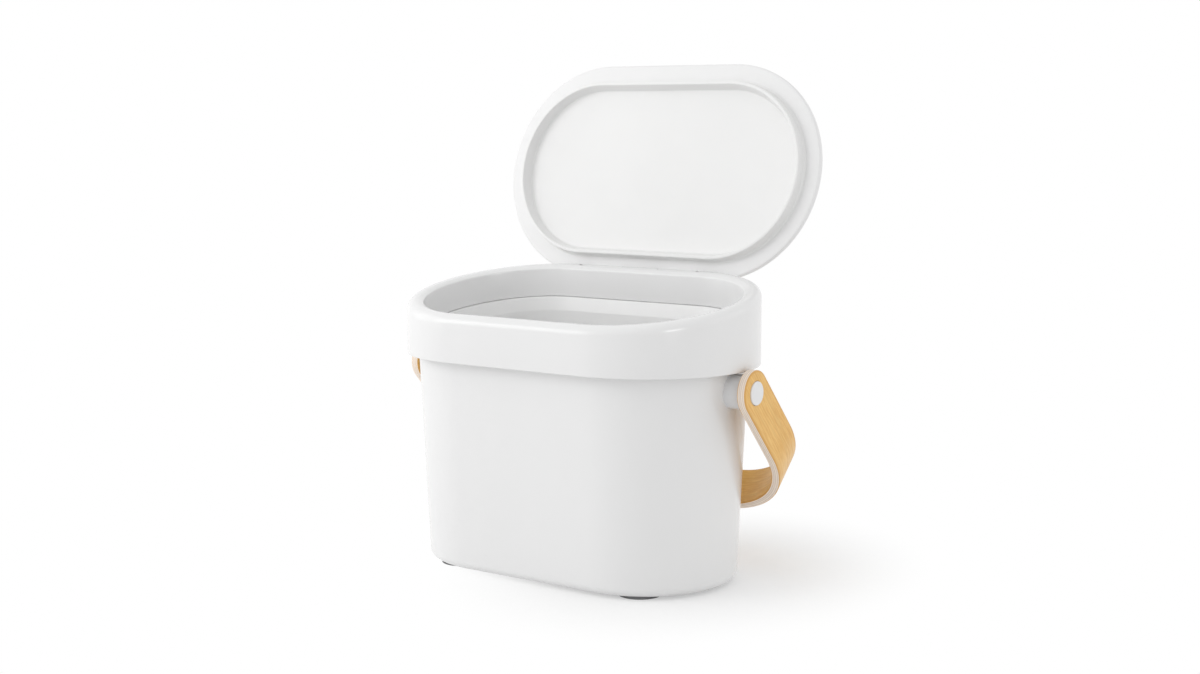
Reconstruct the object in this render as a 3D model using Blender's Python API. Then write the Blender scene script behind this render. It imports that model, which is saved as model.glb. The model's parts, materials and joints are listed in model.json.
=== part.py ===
"""Kitchen compost bin: a tapered tub with a tilted collar, an open lid, an inner bucket and a strap handle.

Metres, +Z up. X runs along the bin's length, the lid's hinge is at +Y, and the feet stand on Z = 0.
At rest the lid stands open on its stop and the handle hangs against the back wall. The bin is modelled
round the middle of its base, and then moved so that the middle of its bounding box is over the origin.
"""

import math

import bmesh
import bpy
from mathutils import Matrix, Vector

# Plan of the bin: a stadium, two half circles joined by straight sides.
HALF_STRAIGHT = 0.0533
HALF_DEPTH = 0.078
END_SEGMENTS = 20

# The collar's lower edge gives the height of the body. The rim slopes, and rises to the back.
COLLAR_BOTTOM = 0.1475
RIM_TILT = math.radians(9.3)

# Feet: how far their middles lie in from the ends and sides of the collar.
FOOT_HEIGHT = 0.002
FOOT_RADIUS = 0.015
FOOT_FROM_END = 0.0565
FOOT_FROM_SIDE = 0.0408
FOOT_EDGE = 0.0006
FOOT_SEGMENTS = 32

# Shell: its wall leans out from the base to a shoulder, and stands straight above it.
SHELL_BASE_INSET = 0.0146
SHELL_TOP_INSET = 0.0082
SHELL_WALL = 0.0022
SHELL_FLOOR = 0.0024
SHELL_FILLET = 0.0062
SHELL_FILLET_STEPS = 5
SHOULDER_COVER = 0.0015
SHOULDER_RISE = 0.0012
LIP_RISE = 0.0023

# Collar: an outer skirt, a crown and an inner skirt. Its crown lies this far above the shell's lip.
RIM_ABOVE_LIP = 0.02453
COLLAR_WALL = 0.0024
COLLAR_CROWN = 0.0023
COLLAR_INNER_WALL = 0.002
COLLAR_EDGE = 0.0056
COLLAR_EDGE_STEPS = 6
COLLAR_FOOT_EDGE = 0.0008
RIM_WIDTH = 0.01265
RIM_END_GAIN = 0.0012
RIM_DISH = 0.0019
RIM_LIP = 0.0013
RIM_LIP_STEPS = 3

# Bucket: hangs by its flange on the shell's lip.
BUCKET_WALL = 0.0016
BUCKET_FLOOR = 0.002
BUCKET_FLANGE = 0.0018
BUCKET_THROAT = 0.0012
BUCKET_STEP = 0.0075
BUCKET_TOP_INSET = 0.0148
BUCKET_BASE_INSET = 0.0186
BUCKET_FILLET = 0.006
BUCKET_LIFT = 0.0014

# Lid: a cover with a pocket below, and a liner that fills the pocket and carries the plug ring.
LID_GROWTH = 0.0004
LID_THICKNESS = 0.005
LID_SKIN = 0.002
LID_TOP_EDGE = 0.0022
LID_LOW_EDGE = 0.0013
LID_EDGE_STEPS = 4
LID_SEAT_GAP = 0.0006
LINER_THICKNESS = 0.0018
LINER_SINK = 0.0004
PLUG_HEIGHT = 0.0072
PLUG_WALL = 0.0036
PLUG_EDGE = 0.001
PLUG_CLEARANCE = 0.00045

# Hinge: a pin below the lid's rear edge, in a recess of the collar.
LID_OPENING = math.radians(113.3)
HINGE_FROM_BACK = 0.0030
HINGE_DROP = 0.0041
KNUCKLE_RADIUS = 0.003
KNUCKLE_SEGMENTS = 24
CENTRE_KNUCKLE = 0.0314
HINGE_RECESS = 0.1086
HINGE_LINING = 0.0021
RECESS_DEPTH = 0.0013
HINGE_FLOOR_BLOCK = 0.0024
PIN_RADIUS = 0.0012
PIN_OVERHANG = 0.0031
PIN_SEGMENTS = 20

# Handle strap: two arms, two wide bends and a grip.
STRAP_WIDTH = 0.030
STRAP_THICKNESS = 0.006
STRAP_SIDE_GAP = 0.0027
STRAP_REST_GAP = 0.00113
STRAP_REACH = 0.1185
STRAP_BEND = 0.0677
STRAP_CHAMFER = 0.0007
STRAP_BEND_STEPS = 14
STRAP_END_STEPS = 8
STRAP_END_LAST = math.radians(84)

# Pivots, the same on both sides.
BOSS_RADIUS = 0.0115
BOSS_DROP = 0.0015
BOSS_EDGE = 0.0006
BOSS_SEGMENTS = 40
SPIGOT_RADIUS = 0.006
SPIGOT_SEGMENTS = 28
NUT_RADIUS = 0.0095
NUT_THICKNESS = 0.0021
WASHER_RADIUS = 0.0088
WASHER_THICKNESS = 0.0007
INSERT_RADIUS = 0.0034
INSERT_LENGTH = 0.0084
THREAD_RADIUS = 0.0025
SHOULDER_RADIUS = 0.0038
SCREW_HEAD_RADIUS = 0.0068
SCREW_HEAD_THICKNESS = 0.0017
SCREW_DRIVE_RADIUS = 0.0018
SCREW_DRIVE_DEPTH = 0.0009
STRAP_WEB = 0.002
CAP_RADIUS = 0.0079
CAP_PROUD = 0.0009
CAP_EDGE = 0.0006
CAP_SEGMENTS = 40

# Gaps between pieces that touch, and the overrun of cutters.
CLEARANCE = 0.0003
SLIDE_CLEARANCE = 0.0005
OVERRUN = 0.002
JOIN = 0.0004
WELD = 0.000002

WHITE = (0.86, 0.865, 0.87)
LINER_GREY = (0.80, 0.805, 0.81)
BAMBOO = (0.72, 0.47, 0.20)
STEEL = (0.62, 0.62, 0.63)
BRASS = (0.72, 0.55, 0.25)
RUBBER = (0.12, 0.12, 0.125)
NYLON = (0.82, 0.82, 0.80)


def clear_scene():
    for found in list(bpy.data.objects):
        bpy.data.objects.remove(found, do_unlink=True)


def material(name, colour, roughness, metallic):
    made = bpy.data.materials.new(name)
    made.use_nodes = True
    shader = made.node_tree.nodes["Principled BSDF"]
    shader.inputs["Base Color"].default_value = (*colour, 1)
    shader.inputs["Roughness"].default_value = roughness
    shader.inputs["Metallic"].default_value = metallic
    return made


def finish(name, mesh, look):
    """Turns a bmesh into a named object with faces outward and a material of its own."""
    bmesh.ops.remove_doubles(mesh, verts=mesh.verts, dist=WELD)
    bmesh.ops.recalc_face_normals(mesh, faces=mesh.faces)
    data = bpy.data.meshes.new(name)
    mesh.to_mesh(data)
    mesh.free()
    data.shade_smooth()
    data.set_sharp_from_angle(angle=math.radians(35))
    if look:
        data.materials.append(material(name, *look))
    made = bpy.data.objects.new(name, data)
    bpy.context.scene.collection.objects.link(made)
    return made


def boolean(target, tool, operation):
    """Applies one exact Boolean and removes its tool."""
    bpy.context.view_layer.update()
    cut = target.modifiers.new(operation, "BOOLEAN")
    cut.operation = operation
    cut.solver = "EXACT"
    cut.object = tool
    graph = bpy.context.evaluated_depsgraph_get()
    made = bpy.data.meshes.new_from_object(target.evaluated_get(graph))
    target.modifiers.remove(cut)
    welded = bmesh.new()
    welded.from_mesh(made)
    bmesh.ops.remove_doubles(welded, verts=welded.verts, dist=WELD)
    welded.to_mesh(made)
    welded.free()
    old = target.data
    target.data = made
    bpy.data.meshes.remove(old)
    made.name = target.name
    made.shade_smooth()
    made.set_sharp_from_angle(angle=math.radians(35))
    bpy.data.objects.remove(tool, do_unlink=True)


def stadium(inset, gain=0.0):
    """Points of the plan outline, inset from the collar's outer face. gain lengthens the straight sides."""
    radius = HALF_DEPTH - inset
    points = []
    for centre, start in ((HALF_STRAIGHT + gain, -math.pi / 2), (-HALF_STRAIGHT - gain, math.pi / 2)):
        for step in range(END_SEGMENTS + 1):
            angle = start + math.pi * step / END_SEGMENTS
            points.append(Vector((centre + radius * math.cos(angle), radius * math.sin(angle))))
    return points


def ring(mesh, inset, height, tilted, gain=0.0):
    """One ring of vertices. A tilted ring follows the slope of the rim."""
    slope = math.tan(RIM_TILT) if tilted else 0
    return [mesh.verts.new((p.x, p.y, height + p.y * slope)) for p in stadium(inset, gain)]


def bridge(mesh, first, second):
    count = len(first)
    for i in range(count):
        j = (i + 1) % count
        mesh.faces.new((first[i], first[j], second[j], second[i]))


def tub(rows):
    """A solid of stacked rings with a flat face at each end. Rows are (inset, height, tilted)."""
    mesh = bmesh.new()
    rings = [ring(mesh, *row) for row in rows]
    for first, second in zip(rings, rings[1:]):
        bridge(mesh, first, second)
    mesh.faces.new(rings[0])
    mesh.faces.new(rings[-1])
    return mesh


def hoop(rows):
    """A closed channel: the last row joins the first. Rows are (inset, height, tilted, gain)."""
    mesh = bmesh.new()
    rings = [ring(mesh, *row) for row in rows]
    for first, second in zip(rings, rings[1:] + rings[:1]):
        bridge(mesh, first, second)
    return mesh


def turned(profile, segments, axis_x=True):
    """Turns (along, radius) points about X, or about Z. A radius of zero closes an end, else it is a tube."""
    mesh = bmesh.new()
    rings = []
    for along, radius in profile:
        if radius == 0:
            rings.append([mesh.verts.new((along, 0, 0) if axis_x else (0, 0, along))])
            continue
        row = []
        for step in range(segments):
            angle = 2 * math.pi * (step + 0.5) / segments
            a, b = radius * math.cos(angle), radius * math.sin(angle)
            row.append(mesh.verts.new((along, a, b) if axis_x else (a, b, along)))
        rings.append(row)
    loops = list(zip(rings, rings[1:]))
    if len(rings[0]) > 1:
        loops.append((rings[-1], rings[0]))
    for first, second in loops:
        for i in range(segments):
            j = (i + 1) % segments
            if len(first) == 1:
                mesh.faces.new((first[0], second[j], second[i]))
            elif len(second) == 1:
                mesh.faces.new((first[i], first[j], second[0]))
            else:
                mesh.faces.new((first[i], first[j], second[j], second[i]))
    return mesh


def block(low, high):
    mesh = bmesh.new()
    size = [b - a for a, b in zip(low, high)]
    middle = [(a + b) / 2 for a, b in zip(low, high)]
    matrix = Matrix.Translation(middle) @ Matrix.Diagonal((*size, 1))
    bmesh.ops.create_cube(mesh, size=1, matrix=matrix)
    return mesh


def moved(mesh, offset):
    bmesh.ops.translate(mesh, verts=mesh.verts, vec=offset)
    return mesh


def arc(steps, radius, start, end, inset, height):
    """Points of a rounded edge as (inset, height) pairs. Angles are measured from the outward side, upward."""
    found = []
    for step in range(steps + 1):
        angle = start + (end - start) * step / steps
        found.append((inset - radius * math.cos(angle), height + radius * math.sin(angle)))
    return found


# Heights that follow from the sizes above. Those of a tilted edge are its height at Y = 0.
SLOPE = math.tan(RIM_TILT)
SHELL_BASE = FOOT_HEIGHT + CLEARANCE / 3
SHELL_LIP_INSET = COLLAR_WALL + SLIDE_CLEARANCE
SHOULDER_HEIGHT = COLLAR_BOTTOM + SHOULDER_COVER
SHELL_LIP = SHOULDER_HEIGHT + SHOULDER_RISE + SHELL_WALL + HALF_DEPTH * SLOPE + LIP_RISE
RIM_HEIGHT = SHELL_LIP + RIM_ABOVE_LIP
PIVOT_HEIGHT = COLLAR_BOTTOM - BOSS_DROP - BOSS_RADIUS
BUCKET_SEAT = SHELL_LIP + CLEARANCE
BUCKET_RIM = BUCKET_SEAT + BUCKET_FLANGE
BUCKET_BASE = SHELL_BASE + SHELL_FLOOR + BUCKET_LIFT
SKIRT_BOTTOM = BUCKET_RIM + CLEARANCE
SHELL_LEAN = (SHELL_BASE_INSET - SHELL_TOP_INSET) / (SHOULDER_HEIGHT - SHELL_BASE - SHELL_FILLET)
STRAP_SPAN = 2 * (HALF_STRAIGHT + HALF_DEPTH + STRAP_SIDE_GAP + STRAP_THICKNESS)


def handle_rest():
    """Angle from straight down at which the strap's front lower edge comes to rest by the leaning back wall."""
    reach = STRAP_REACH - STRAP_THICKNESS
    half = STRAP_WIDTH / 2
    back = HALF_DEPTH - SHELL_TOP_INSET - SHELL_LEAN * (SHOULDER_HEIGHT - PIVOT_HEIGHT) + STRAP_REST_GAP
    along, across = reach + SHELL_LEAN * half, SHELL_LEAN * reach - half
    return math.asin(back / math.hypot(along, across)) - math.atan2(across, along)


HANDLE_REST = handle_rest()


def shell_inset(height):
    """Inset of the shell's outer wall at a height below the shoulder."""
    return SHELL_TOP_INSET + SHELL_LEAN * (SHOULDER_HEIGHT - height)


def shell_rows(grow):
    """Rows of the shell's outer side from the base up to the shoulder, grown outward."""
    rows = []
    for step in range(SHELL_FILLET_STEPS + 1):
        angle = math.pi / 2 * step / SHELL_FILLET_STEPS
        inset = SHELL_BASE_INSET + SHELL_FILLET * (1 - math.sin(angle))
        rows.append((inset - grow, SHELL_BASE + SHELL_FILLET * (1 - math.cos(angle)), False))
    rows.append((SHELL_TOP_INSET - grow, SHOULDER_HEIGHT, False))
    return rows


def make_shell():
    rows = shell_rows(0)
    rows.append((SHELL_LIP_INSET + SHOULDER_RISE / 2, SHOULDER_HEIGHT + SHOULDER_RISE / 2, False))
    rows.append((SHELL_LIP_INSET, SHOULDER_HEIGHT + SHOULDER_RISE, False))
    rows.append((SHELL_LIP_INSET, SHELL_LIP, True))
    rows.append((SHELL_LIP_INSET + SHELL_WALL, SHELL_LIP, True))
    inner_shoulder = SHOULDER_HEIGHT + SHOULDER_RISE + SHELL_WALL
    rows.append((SHELL_LIP_INSET + SHELL_WALL, inner_shoulder, False))
    rows.append((SHELL_TOP_INSET + SHELL_WALL, inner_shoulder - SHOULDER_RISE, False))
    inner_fillet = SHELL_FILLET - SHELL_WALL
    floor = SHELL_BASE + SHELL_FLOOR
    for step in range(SHELL_FILLET_STEPS + 1):
        angle = math.pi / 2 * (1 - step / SHELL_FILLET_STEPS)
        inset = SHELL_BASE_INSET + SHELL_WALL + inner_fillet * (1 - math.sin(angle))
        rows.append((inset, floor + inner_fillet * (1 - math.cos(angle)), False))
    shell = finish("shell", tub(rows), (WHITE, 0.32, 0.0))
    for side in (-1, 1):
        reach = HALF_STRAIGHT + HALF_DEPTH
        hole = turned([(side * (reach - SHELL_BASE_INSET * 2), 0),
                       (side * (reach - SHELL_BASE_INSET * 2), SPIGOT_RADIUS + CLEARANCE),
                       (side * reach, SPIGOT_RADIUS + CLEARANCE),
                       (side * reach, 0)], SPIGOT_SEGMENTS)
        boolean(shell, finish("hole", moved(hole, (0, 0, PIVOT_HEIGHT)), None), "DIFFERENCE")
    return shell


def make_bucket():
    outer_low = BUCKET_BASE_INSET
    top = BUCKET_SEAT - BUCKET_STEP
    rows = []
    for step in range(SHELL_FILLET_STEPS + 1):
        angle = math.pi / 2 * step / SHELL_FILLET_STEPS
        inset = outer_low + BUCKET_FILLET * (1 - math.sin(angle))
        rows.append((inset, BUCKET_BASE + BUCKET_FILLET * (1 - math.cos(angle)), False))
    throat = RIM_WIDTH + BUCKET_THROAT
    rows.append((BUCKET_TOP_INSET, top, True))
    rows.append((throat - BUCKET_WALL, BUCKET_SEAT, True))
    rows.append((SHELL_LIP_INSET + CLEARANCE, BUCKET_SEAT, True))
    rows.append((SHELL_LIP_INSET + CLEARANCE, BUCKET_RIM, True))
    rows.append((throat, BUCKET_RIM, True))
    rows.append((BUCKET_TOP_INSET + BUCKET_WALL, top, True))
    inner_fillet = BUCKET_FILLET - BUCKET_WALL
    floor = BUCKET_BASE + BUCKET_FLOOR
    for step in range(SHELL_FILLET_STEPS + 1):
        angle = math.pi / 2 * (1 - step / SHELL_FILLET_STEPS)
        inset = outer_low + BUCKET_WALL + inner_fillet * (1 - math.sin(angle))
        rows.append((inset, floor + inner_fillet * (1 - math.cos(angle)), False))
    return finish("bucket", tub(rows), (LINER_GREY, 0.35, 0.0))


# The hinge's axis, and the lid's closed place: its underside lies on the tilted crown.
LID_CENTRE_HEIGHT = RIM_HEIGHT + LID_SEAT_GAP
LID_BACK = HALF_DEPTH + LID_GROWTH
HINGE_ALONG = LID_BACK - HINGE_FROM_BACK
HINGE_Y = HINGE_ALONG * math.cos(RIM_TILT) + HINGE_DROP * math.sin(RIM_TILT)
HINGE_Z = LID_CENTRE_HEIGHT + HINGE_ALONG * math.sin(RIM_TILT) - HINGE_DROP * math.cos(RIM_TILT)
KNUCKLE_GAP = CLEARANCE + JOIN / 4
WEB_FRONT = KNUCKLE_RADIUS * math.cos(RIM_TILT) + HINGE_DROP * math.sin(RIM_TILT)
RECESS_FRONT = HINGE_Y - WEB_FRONT - KNUCKLE_GAP
RECESS_FLOOR = HINGE_Z - KNUCKLE_RADIUS - RECESS_DEPTH
PIN_LENGTH = HINGE_RECESS + 2 * PIN_OVERHANG


def cylinder_x(x0, x1, radius, y, z, segments):
    mesh = turned([(x0, 0), (x0, radius), (x1, radius), (x1, 0)], segments)
    return moved(mesh, (0, y, z))


def make_collar():
    rows = [(0, COLLAR_BOTTOM + COLLAR_FOOT_EDGE, False, 0)]
    edge = arc(COLLAR_EDGE_STEPS, COLLAR_EDGE, 0, math.pi / 2, COLLAR_EDGE, RIM_HEIGHT - COLLAR_EDGE)
    rows += [(inset, height, True, 0) for inset, height in edge]
    lip_inset = RIM_WIDTH - RIM_LIP
    lip_height = RIM_HEIGHT - RIM_DISH
    for step in range(RIM_LIP_STEPS + 1):
        angle = math.pi / 2 * step / RIM_LIP_STEPS
        drop = RIM_LIP * (1 - math.cos(angle))
        inset = lip_inset + RIM_LIP * math.sin(angle)
        rows.append((inset, lip_height - drop, True, RIM_END_GAIN))
    rows.append((RIM_WIDTH, SKIRT_BOTTOM, True, RIM_END_GAIN))
    rows.append((RIM_WIDTH - COLLAR_INNER_WALL, SKIRT_BOTTOM, True, RIM_END_GAIN))
    under = RIM_HEIGHT - RIM_DISH - COLLAR_CROWN
    rows.append((RIM_WIDTH - COLLAR_INNER_WALL, under, True, RIM_END_GAIN))
    corner = COLLAR_EDGE - COLLAR_WALL
    rows.append((COLLAR_WALL + corner, RIM_HEIGHT - COLLAR_CROWN, True, 0))
    rows.append((COLLAR_WALL + corner / 4, RIM_HEIGHT - COLLAR_CROWN - corner / 4, True, 0))
    rows.append((COLLAR_WALL, RIM_HEIGHT - COLLAR_CROWN - corner, True, 0))
    rows.append((COLLAR_WALL, COLLAR_BOTTOM, False, 0))
    rows.append((COLLAR_FOOT_EDGE, COLLAR_BOTTOM, False, 0))
    collar = finish("collar", hoop(rows), (WHITE, 0.28, 0.0))

    # A block fills the channel behind the recess, so that the recess has a floor, a front and two ends.
    half = HINGE_RECESS / 2
    end = PIN_LENGTH / 2 + HINGE_LINING / 2
    lining = block((-end, RECESS_FRONT - HINGE_LINING, RECESS_FLOOR - HINGE_FLOOR_BLOCK),
                   (end, HALF_DEPTH - COLLAR_WALL / 2, HINGE_Z + PIN_RADIUS + CLEARANCE))
    boolean(collar, finish("lining", lining, None), "UNION")
    recess = block((-half, RECESS_FRONT, RECESS_FLOOR),
                   (half, HALF_DEPTH + OVERRUN, HINGE_Z + LID_THICKNESS + OVERRUN))
    boolean(collar, finish("recess", recess, None), "DIFFERENCE")
    centre = CENTRE_KNUCKLE / 2
    web = block((-centre, HINGE_Y - KNUCKLE_RADIUS, RECESS_FLOOR - JOIN),
                (centre, HINGE_Y + KNUCKLE_RADIUS * 2 / 3, HINGE_Z))
    boolean(collar, finish("web", web, None), "UNION")
    barrel = cylinder_x(-centre, centre, KNUCKLE_RADIUS, HINGE_Y, HINGE_Z, KNUCKLE_SEGMENTS)
    boolean(collar, finish("barrel", barrel, None), "UNION")
    bore = PIN_LENGTH / 2 + CLEARANCE
    hole = cylinder_x(-bore, bore, PIN_RADIUS + CLEARANCE, HINGE_Y, HINGE_Z, PIN_SEGMENTS)
    boolean(collar, finish("bore", hole, None), "DIFFERENCE")
    return collar


def place_lid(made):
    """Gives a lid piece its origin on the hinge's axis, and opens it."""
    made.data.transform(Matrix.Translation((0, -HINGE_ALONG, HINGE_DROP)))
    made.location = (0, HINGE_Y, HINGE_Z)
    made.rotation_euler = (RIM_TILT - LID_OPENING, 0, 0)


def make_lid():
    pocket = RIM_WIDTH + PLUG_CLEARANCE - CLEARANCE
    roof = LID_THICKNESS - LID_SKIN
    rows = [(pocket, 0, False, RIM_END_GAIN)]
    low = arc(LID_EDGE_STEPS, LID_LOW_EDGE, -math.pi / 2, 0, LID_LOW_EDGE - LID_GROWTH, LID_LOW_EDGE)
    high = arc(LID_EDGE_STEPS, LID_TOP_EDGE, 0, math.pi / 2, LID_TOP_EDGE - LID_GROWTH,
               LID_THICKNESS - LID_TOP_EDGE)
    rows += [(inset, height, False, 0) for inset, height in low + high]
    mesh = bmesh.new()
    rings = [ring(mesh, *row) for row in rows]
    for first, second in zip(rings, rings[1:]):
        bridge(mesh, first, second)
    mesh.faces.new(rings[-1])
    top = ring(mesh, pocket, roof, False, RIM_END_GAIN)
    bridge(mesh, top, rings[0])
    mesh.faces.new(top)
    cover = finish("lid_cover", mesh, (WHITE, 0.30, 0.0))
    centre = CENTRE_KNUCKLE / 2 + CLEARANCE
    end = HINGE_RECESS / 2 - CLEARANCE
    for side in (-1, 1):
        low_x, high_x = sorted((side * centre, side * end))
        web = block((low_x, HINGE_ALONG - KNUCKLE_RADIUS, -HINGE_DROP),
                    (high_x, HINGE_ALONG + HINGE_FROM_BACK - LID_LOW_EDGE, JOIN))
        boolean(cover, finish("web", web, None), "UNION")
        barrel = cylinder_x(low_x, high_x, KNUCKLE_RADIUS, HINGE_ALONG, -HINGE_DROP, KNUCKLE_SEGMENTS)
        boolean(cover, finish("barrel", barrel, None), "UNION")
        hole = cylinder_x(low_x - OVERRUN, high_x + OVERRUN, PIN_RADIUS + CLEARANCE,
                          HINGE_ALONG, -HINGE_DROP, PIN_SEGMENTS)
        boolean(cover, finish("bore", hole, None), "DIFFERENCE")
    place_lid(cover)

    outer = RIM_WIDTH + PLUG_CLEARANCE
    liner_top = LINER_SINK + LINER_THICKNESS
    inner = outer + PLUG_WALL
    profile = [(outer, liner_top), (outer, PLUG_EDGE - PLUG_HEIGHT)]
    profile += arc(LID_EDGE_STEPS, PLUG_EDGE, 0, -math.pi / 2, outer + PLUG_EDGE, PLUG_EDGE - PLUG_HEIGHT)[1:]
    profile += arc(LID_EDGE_STEPS, PLUG_EDGE, -math.pi / 2, -math.pi, inner - PLUG_EDGE, PLUG_EDGE - PLUG_HEIGHT)
    profile += [(inner, LINER_SINK)]
    mesh = bmesh.new()
    rings = [ring(mesh, inset, height, False, RIM_END_GAIN) for inset, height in profile]
    for first, second in zip(rings, rings[1:]):
        bridge(mesh, first, second)
    mesh.faces.new(rings[0])
    mesh.faces.new(rings[-1])
    liner = finish("lid_liner", mesh, (WHITE, 0.36, 0.0))
    place_lid(liner)
    return cover, liner


def make_pin():
    end = PIN_LENGTH / 2
    tip = PIN_RADIUS / 4
    pin = turned([(-end, 0), (-end, PIN_RADIUS - tip), (-end + tip, PIN_RADIUS),
                  (end - tip, PIN_RADIUS), (end, PIN_RADIUS - tip), (end, 0)], PIN_SEGMENTS)
    made = finish("hinge_pin", pin, (STEEL, 0.3, 1.0))
    made.location = (0, HINGE_Y, HINGE_Z)
    return made


def strap_stations():
    """Stations of the strap's middle line as (x, reach, outward x, outward reach, half width)."""
    half = STRAP_SPAN / 2 - STRAP_THICKNESS / 2
    bend = STRAP_BEND - STRAP_THICKNESS / 2
    reach = STRAP_REACH - STRAP_THICKNESS / 2
    radius = STRAP_WIDTH / 2
    arm = []
    for step in range(STRAP_END_STEPS, 0, -1):
        angle = STRAP_END_LAST * step / STRAP_END_STEPS
        arm.append((half, -radius * math.sin(angle), 1, 0, radius * math.cos(angle)))
    arm.append((half, 0, 1, 0, radius))
    for step in range(STRAP_BEND_STEPS + 1):
        angle = math.pi / 2 * step / STRAP_BEND_STEPS
        arm.append((half - bend * (1 - math.cos(angle)), reach - bend + bend * math.sin(angle),
                    math.cos(angle), math.sin(angle), radius))
    return arm + [(-x, u, -nx, nu, w) for x, u, nx, nu, w in reversed(arm)]


def make_strap():
    mesh = bmesh.new()
    rows = []
    thick = STRAP_THICKNESS / 2
    for x, u, nx, nu, width in strap_stations():
        cut = min(STRAP_CHAMFER, width / 2)
        section = ((thick, width - cut), (thick - cut, width), (cut - thick, width), (-thick, width - cut),
                   (-thick, cut - width), (cut - thick, -width), (thick - cut, -width), (thick, cut - width))
        rows.append([mesh.verts.new((x + a * nx, b, -(u + a * nu))) for a, b in section])
    for first, second in zip(rows, rows[1:]):
        bridge(mesh, first, second)
    mesh.faces.new(rows[0])
    mesh.faces.new(rows[-1])
    strap = finish("handle_strap", mesh, (BAMBOO, 0.45, 0.0))
    outer = STRAP_SPAN / 2
    for side in (-1, 1):
        inner = outer - STRAP_THICKNESS
        seat = turned([(side * (inner - OVERRUN), 0), (side * (inner - OVERRUN), SHOULDER_RADIUS + CLEARANCE),
                       (side * (inner + STRAP_WEB), SHOULDER_RADIUS + CLEARANCE),
                       (side * (inner + STRAP_WEB), CAP_RADIUS + CLEARANCE),
                       (side * (outer + OVERRUN), CAP_RADIUS + CLEARANCE),
                       (side * (outer + OVERRUN), 0)], CAP_SEGMENTS)
        boolean(strap, finish("seat", seat, None), "DIFFERENCE")
    strap.location = (0, 0, PIVOT_HEIGHT)
    strap.rotation_euler = (HANDLE_REST, 0, 0)
    return strap


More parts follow.
